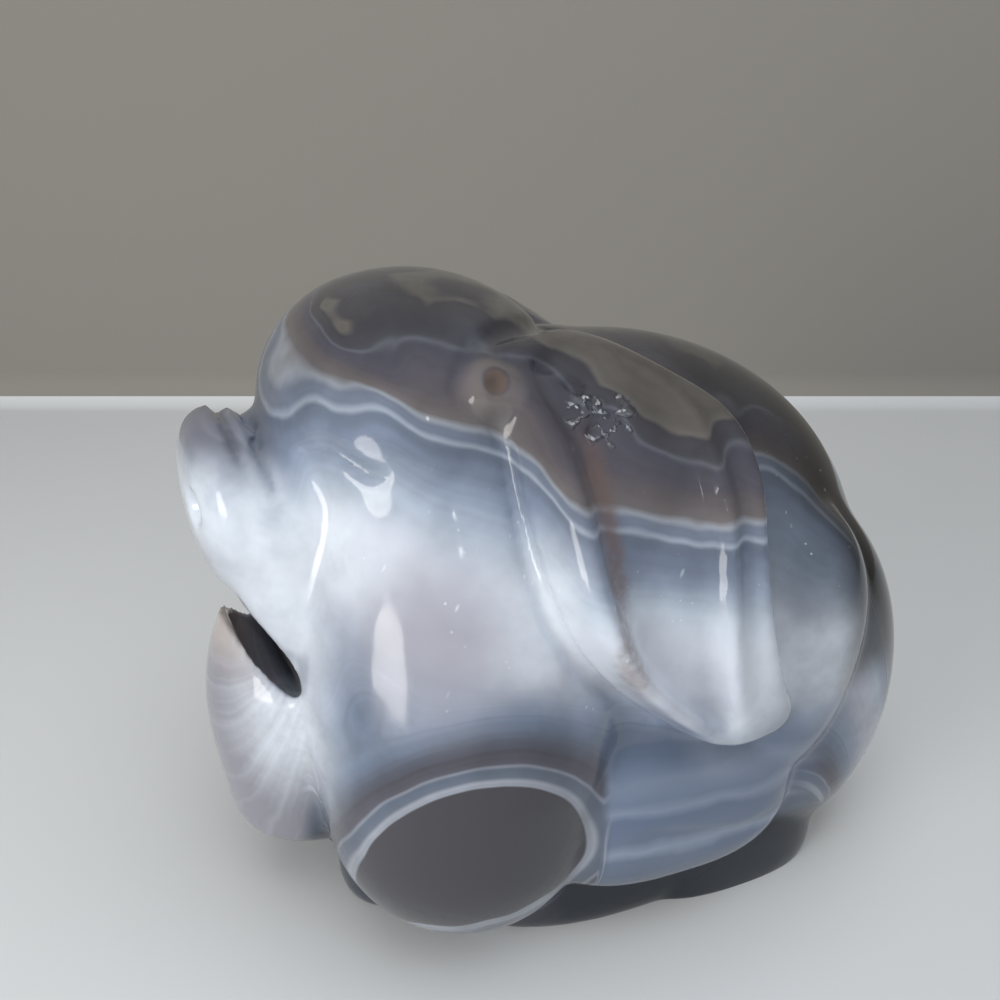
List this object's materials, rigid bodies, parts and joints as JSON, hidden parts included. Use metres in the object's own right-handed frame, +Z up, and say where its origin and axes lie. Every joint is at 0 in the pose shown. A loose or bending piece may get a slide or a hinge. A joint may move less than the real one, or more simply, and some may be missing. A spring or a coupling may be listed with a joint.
{
  "type": "agate pig carving",
  "caption": "Chubby laughing pig carved from one banded grey-blue agate, with drooping scooped ears, hanging cheeks and a flat base to stand on.",
  "frame": {"origin": "on the flat base, in the plane the pig stands on, midway between its two sides and a little ahead of its middle", "axes": "+Z up, -X the way the snout points, -Y towards the pig's left side"},
  "size_m": [0.1126, 0.0869, 0.0971],
  "materials": {
    "agate": "polished, glossy and slightly translucent banded agate in slate blue, milky white and brown-grey"
  },
  "bodies": {
    "root": {"pig": "agate"}
  },
  "joints": []
}
